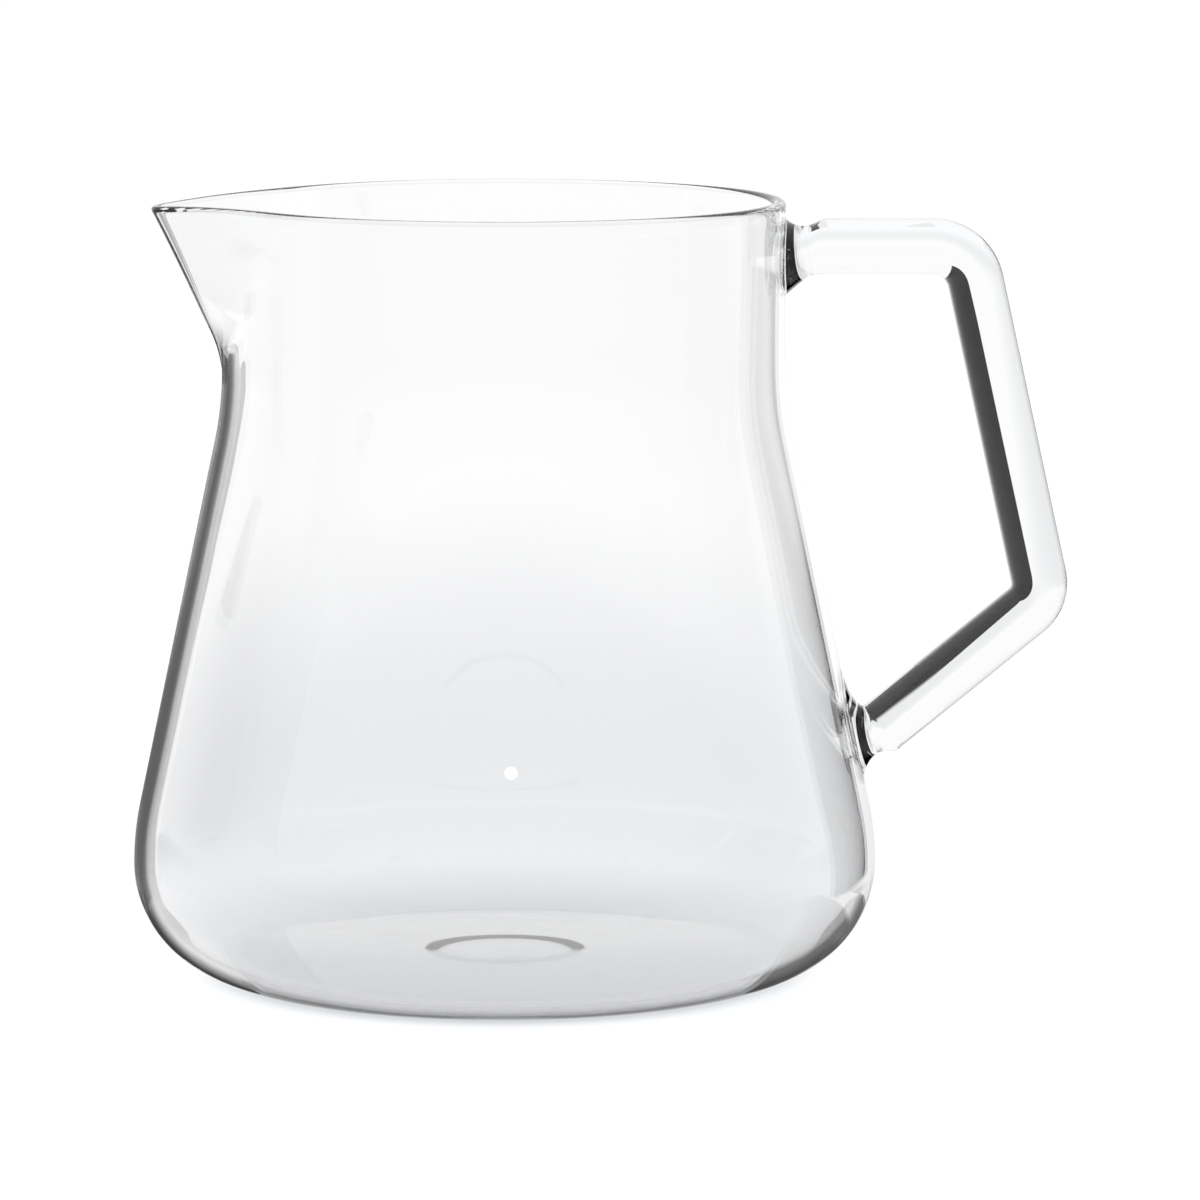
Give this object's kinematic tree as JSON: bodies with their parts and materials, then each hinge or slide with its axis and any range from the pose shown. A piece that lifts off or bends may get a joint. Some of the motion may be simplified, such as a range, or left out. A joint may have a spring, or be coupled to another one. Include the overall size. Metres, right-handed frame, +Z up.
{
  "type": "coffee server carafe",
  "caption": "Blown-glass coffee server with a straight neck, wide belly, pulled V spout and a bent solid-glass handle fused on at two feet, for catching and pouring brewed coffee.",
  "frame": {"origin": "on the table, at the foot of the vessel's axis, in the plane of the resting ring", "axes": "+Z up along the vessel's axis, +X towards the handle, -X towards the spout, -Y the side with the level dot"},
  "size_m": [0.1305, 0.1038, 0.108],
  "materials": {
    "clear_glass": "clear, fire-polished borosilicate glass with a faint cool grey tone",
    "white_enamel": "opaque white enamel fired onto the glass, satin"
  },
  "bodies": {
    "root": {"glass_body": "clear_glass", "handle": "clear_glass", "upper_handle_foot": "clear_glass", "lower_handle_foot": "clear_glass", "level_dot": "white_enamel"}
  },
  "joints": []
}
